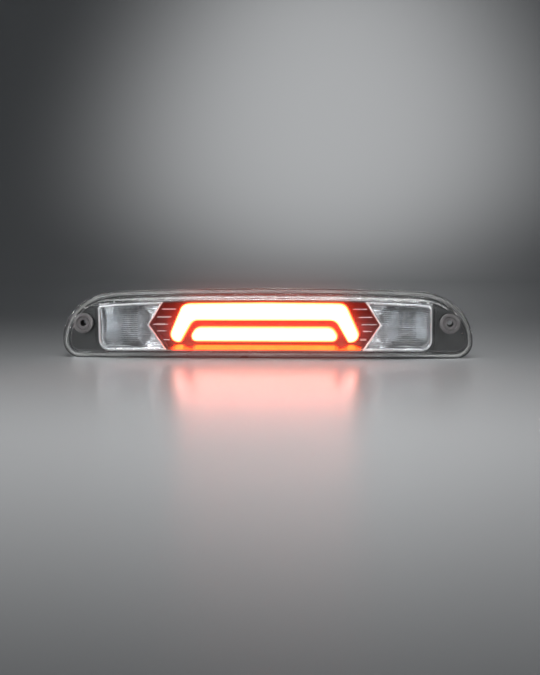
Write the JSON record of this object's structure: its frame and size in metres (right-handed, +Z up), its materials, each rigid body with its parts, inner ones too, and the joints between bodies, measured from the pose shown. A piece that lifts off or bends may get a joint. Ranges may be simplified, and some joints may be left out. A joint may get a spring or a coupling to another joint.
{
  "type": "third brake light",
  "caption": "Long slim third brake light for a pickup cab: clear lens, two stacked light bars, and a bulb-lit cargo window at each end.",
  "frame": {"origin": "on the cab's skin (the gasket's rear face), midway between the two screw axes", "axes": "+X to the viewer's right when facing the lens, +Y rearwards out of the gasket's back, +Z up; the lens faces -Y"},
  "size_m": [0.4144, 0.0768, 0.0708],
  "materials": {
    "clear_lens": "clear moulded plastic, glossy",
    "fluted_lens": "clear moulded plastic with fine flutes",
    "bulb_glass": "clear glass",
    "housing": "moulded, semi-gloss black",
    "tray": "glossy dark red tint",
    "light_guide": "frosted, lit from behind",
    "chrome": "bright metallised",
    "board": "solder mask",
    "led": "lamp package",
    "chip": "moulded",
    "can": "satin",
    "sealant": "cured adhesive bead",
    "gasket": "closed-cell foam and moulded seals",
    "grommet": "moulded, matt dark grey",
    "socket": "moulded",
    "steel": "zinc plated",
    "coated_steel": "grey coated steel",
    "brass": "tin-flashed brass",
    "feed_wire": "insulation",
    "ground_wire": "insulation"
  },
  "bodies": {
    "housing": {"outer_lens": "clear_lens", "lens_sealant": "sealant", "rear_housing": "housing", "mounting_gasket": "gasket", "inner_bezel": "chrome", "light_bar_tray": "tray", "outer_light_guide": "light_guide", "inner_light_guide": "light_guide", "brake_led_board": "board", "driver_chip": "chip", "input_capacitor": "can", "feed_connector": "socket", "connector_pin_1": "brass", "connector_pin_2": "brass", "feed_wire": "feed_wire", "ground_wire": "ground_wire", "vent_plug": "gasket", "brake_led_01": "led", "brake_led_02": "led", "brake_led_03": "led", "brake_led_04": "led", "brake_led_05": "led", "brake_led_06": "led", "brake_led_07": "led", "brake_led_08": "led", "brake_led_09": "led", "brake_led_10": "led", "brake_led_11": "led", "brake_led_12": "led", "brake_led_13": "led", "brake_led_14": "led", "brake_led_15": "led", "brake_led_16": "led", "board_screw_1": "steel", "board_screw_2": "steel", "board_screw_3": "steel", "board_screw_4": "steel", "left_screw_grommet": "grommet", "left_screw_sleeve": "coated_steel", "left_fin_comb": "chrome", "left_window_frame": "chrome", "left_cargo_lens": "fluted_lens", "left_cargo_reflector": "chrome", "right_screw_grommet": "grommet", "right_screw_sleeve": "coated_steel", "right_fin_comb": "chrome", "right_window_frame": "chrome", "right_cargo_lens": "fluted_lens", "right_cargo_reflector": "chrome"},
    "left_socket": {"left_bulb_socket": "socket", "left_socket_seal": "gasket", "left_cargo_bulb": "bulb_glass", "left_terminal_1": "brass", "left_terminal_2": "brass"},
    "right_socket": {"right_bulb_socket": "socket", "right_socket_seal": "gasket", "right_cargo_bulb": "bulb_glass", "right_terminal_1": "brass", "right_terminal_2": "brass"}
  },
  "joints": [
    {"name": "left_socket_twist", "type": "hinge", "parent": "housing", "child": "left_socket", "pos_m": [-0.142, 0.02, -0.002], "axis": [0, 1, 0], "range_deg": [0, 45]},
    {"name": "right_socket_twist", "type": "hinge", "parent": "housing", "child": "right_socket", "pos_m": [0.142, 0.02, -0.002], "axis": [0, 1, 0], "range_deg": [0, 45]}
  ]
}
